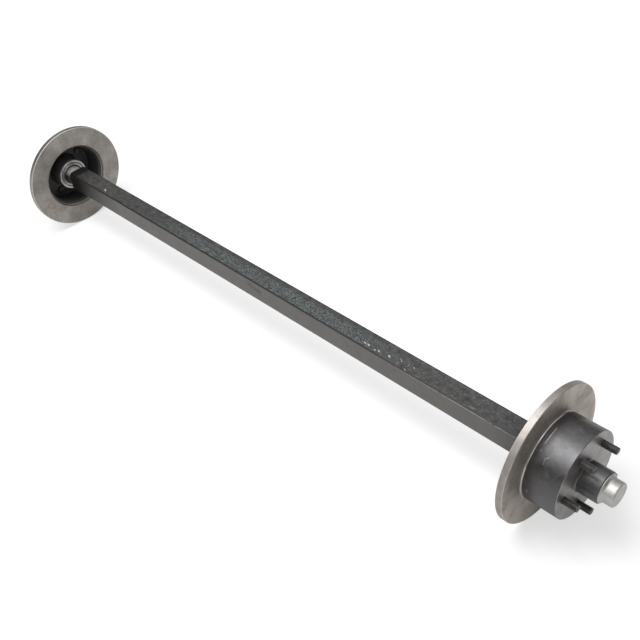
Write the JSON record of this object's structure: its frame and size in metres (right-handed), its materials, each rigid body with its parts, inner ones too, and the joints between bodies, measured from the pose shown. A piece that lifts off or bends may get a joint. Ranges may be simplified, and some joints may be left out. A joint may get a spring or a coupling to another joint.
{
  "type": "trailer axle with disc hubs",
  "caption": "Solid square trailer axle with a disc brake hub spinning on tapered roller bearings at each end, wheel studs, seals, castle nuts and dust caps.",
  "frame": {"origin": "middle of the square bar, on the line through both spindles", "axes": "+X along the axle towards the right hub, which is the near one in the picture, +Z square to the bar's top face, +Y completes the set"},
  "size_m": [1.641, 0.254, 0.254],
  "materials": {
    "beam_paint": "satin black paint over mill scale, bare turned spindles",
    "hub_iron": "machined friction and wheel faces, satin black paint on the hat and barrel",
    "stud_steel": "black oxide, threaded",
    "bearing_steel": "ground and polished",
    "cage_steel": "pressed sheet",
    "seal_metal": "bright plated sheet",
    "seal_rubber": "matt black moulding",
    "spring_steel": "coiled wire",
    "fastener_steel": "zinc plated",
    "cap_zinc": "bright zinc plated pressing"
  },
  "bodies": {
    "axle": {"axle_beam": "beam_paint", "right_inner_bearing_cone": "bearing_steel", "right_outer_bearing_cone": "bearing_steel", "right_spindle_washer": "fastener_steel", "right_castle_nut": "fastener_steel", "right_split_pin": "fastener_steel", "left_inner_bearing_cone": "bearing_steel", "left_outer_bearing_cone": "bearing_steel", "left_spindle_washer": "fastener_steel", "left_castle_nut": "fastener_steel", "left_split_pin": "fastener_steel"},
    "right_hub": {"right_disc_hub": "hub_iron", "right_wheel_stud_1": "stud_steel", "right_wheel_stud_2": "stud_steel", "right_wheel_stud_3": "stud_steel", "right_wheel_stud_4": "stud_steel", "right_wheel_stud_5": "stud_steel", "right_inner_bearing_cup": "bearing_steel", "right_outer_bearing_cup": "bearing_steel", "right_seal_case": "seal_metal", "right_seal_lip": "seal_rubber", "right_seal_garter_spring": "spring_steel", "right_dust_cap": "cap_zinc"},
    "right_inner_bearing_rollers": {"right_inner_bearing_rollers": "bearing_steel", "right_inner_bearing_cage": "cage_steel"},
    "right_outer_bearing_rollers": {"right_outer_bearing_rollers": "bearing_steel", "right_outer_bearing_cage": "cage_steel"},
    "left_hub": {"left_disc_hub": "hub_iron", "left_wheel_stud_1": "stud_steel", "left_wheel_stud_2": "stud_steel", "left_wheel_stud_3": "stud_steel", "left_wheel_stud_4": "stud_steel", "left_wheel_stud_5": "stud_steel", "left_inner_bearing_cup": "bearing_steel", "left_outer_bearing_cup": "bearing_steel", "left_seal_case": "seal_metal", "left_seal_lip": "seal_rubber", "left_seal_garter_spring": "spring_steel", "left_dust_cap": "cap_zinc"},
    "left_inner_bearing_rollers": {"left_inner_bearing_rollers": "bearing_steel", "left_inner_bearing_cage": "cage_steel"},
    "left_outer_bearing_rollers": {"left_outer_bearing_rollers": "bearing_steel", "left_outer_bearing_cage": "cage_steel"}
  },
  "joints": [
    {"name": "right_hub_spin", "type": "hinge", "parent": "axle", "child": "right_hub", "pos_m": [0.75, 0, 0], "axis": [1, 0, 0], "continuous": true},
    {"name": "right_inner_bearing_roller_orbit", "type": "hinge", "parent": "axle", "child": "right_inner_bearing_rollers", "pos_m": [0.72, 0, 0], "axis": [1, 0, 0], "continuous": true},
    {"name": "right_outer_bearing_roller_orbit", "type": "hinge", "parent": "axle", "child": "right_outer_bearing_rollers", "pos_m": [0.775, 0, 0], "axis": [1, 0, 0], "continuous": true},
    {"name": "left_hub_spin", "type": "hinge", "parent": "axle", "child": "left_hub", "pos_m": [-0.75, 0, 0], "axis": [1, 0, 0], "continuous": true},
    {"name": "left_inner_bearing_roller_orbit", "type": "hinge", "parent": "axle", "child": "left_inner_bearing_rollers", "pos_m": [-0.72, 0, 0], "axis": [1, 0, 0], "continuous": true},
    {"name": "left_outer_bearing_roller_orbit", "type": "hinge", "parent": "axle", "child": "left_outer_bearing_rollers", "pos_m": [-0.775, 0, 0], "axis": [1, 0, 0], "continuous": true}
  ],
  "couplings": [
    {"joint": "right_inner_bearing_roller_orbit", "follows": "right_hub_spin", "ratio": 0.56016},
    {"joint": "right_outer_bearing_roller_orbit", "follows": "right_hub_spin", "ratio": 0.58116},
    {"joint": "left_inner_bearing_roller_orbit", "follows": "left_hub_spin", "ratio": 0.56016},
    {"joint": "left_outer_bearing_roller_orbit", "follows": "left_hub_spin", "ratio": 0.58116}
  ]
}
